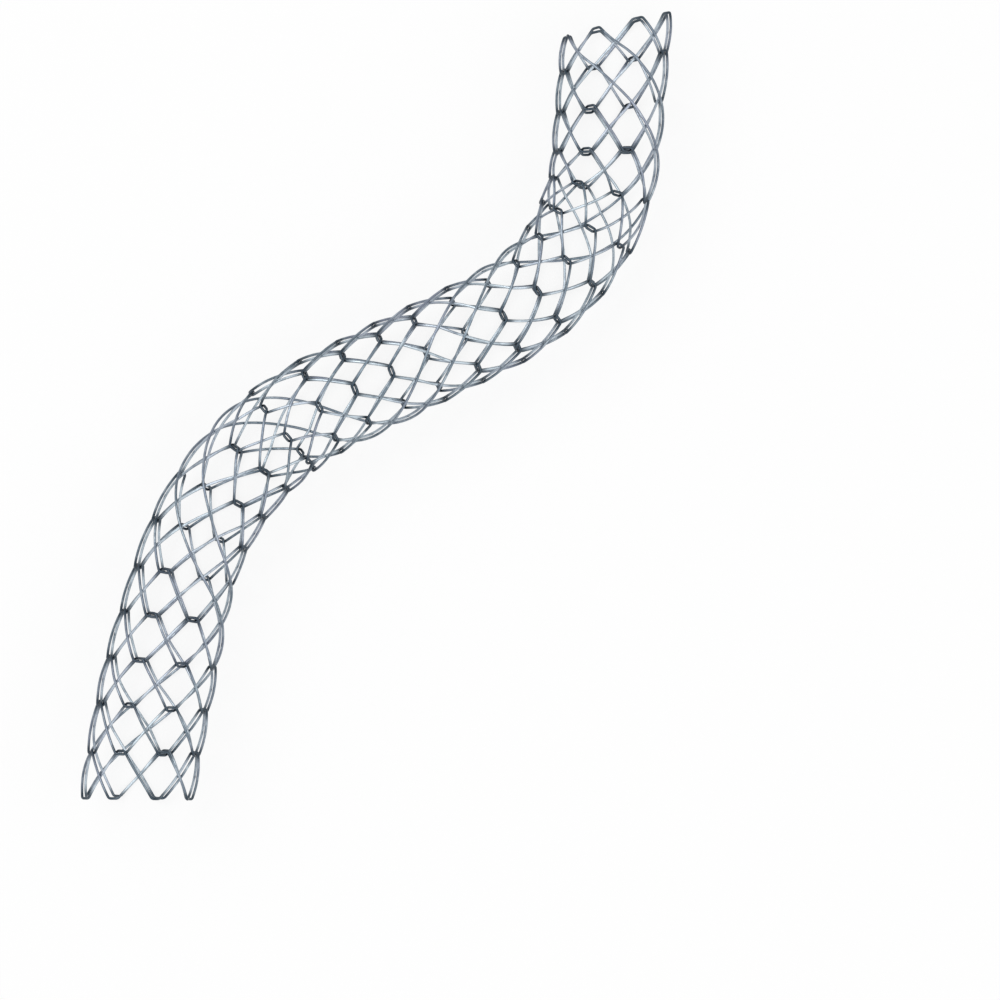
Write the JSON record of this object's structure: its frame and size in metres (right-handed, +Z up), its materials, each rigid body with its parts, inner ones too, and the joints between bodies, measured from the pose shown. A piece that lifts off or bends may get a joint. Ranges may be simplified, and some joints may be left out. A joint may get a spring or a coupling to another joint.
{
  "type": "biliary stent",
  "caption": "Flexible bare tube woven from two springy wires with hooked bends, slightly flared at both ends and lying in a gentle S, that holds a bile duct open.",
  "frame": {"origin": "on the table, under the middle of the box around the stent", "axes": "+Z up from the table that the stent lies on, +Y from the lower end towards the upper end, +X to the right as the stent is seen from above"},
  "size_m": [0.0548, 0.0734, 0.0108],
  "materials": {
    "wire": "drawn nickel-titanium wire, blue-grey heat-set oxide, satin"
  },
  "bodies": {
    "root": {"first_wire": "wire", "second_wire": "wire"}
  },
  "joints": []
}
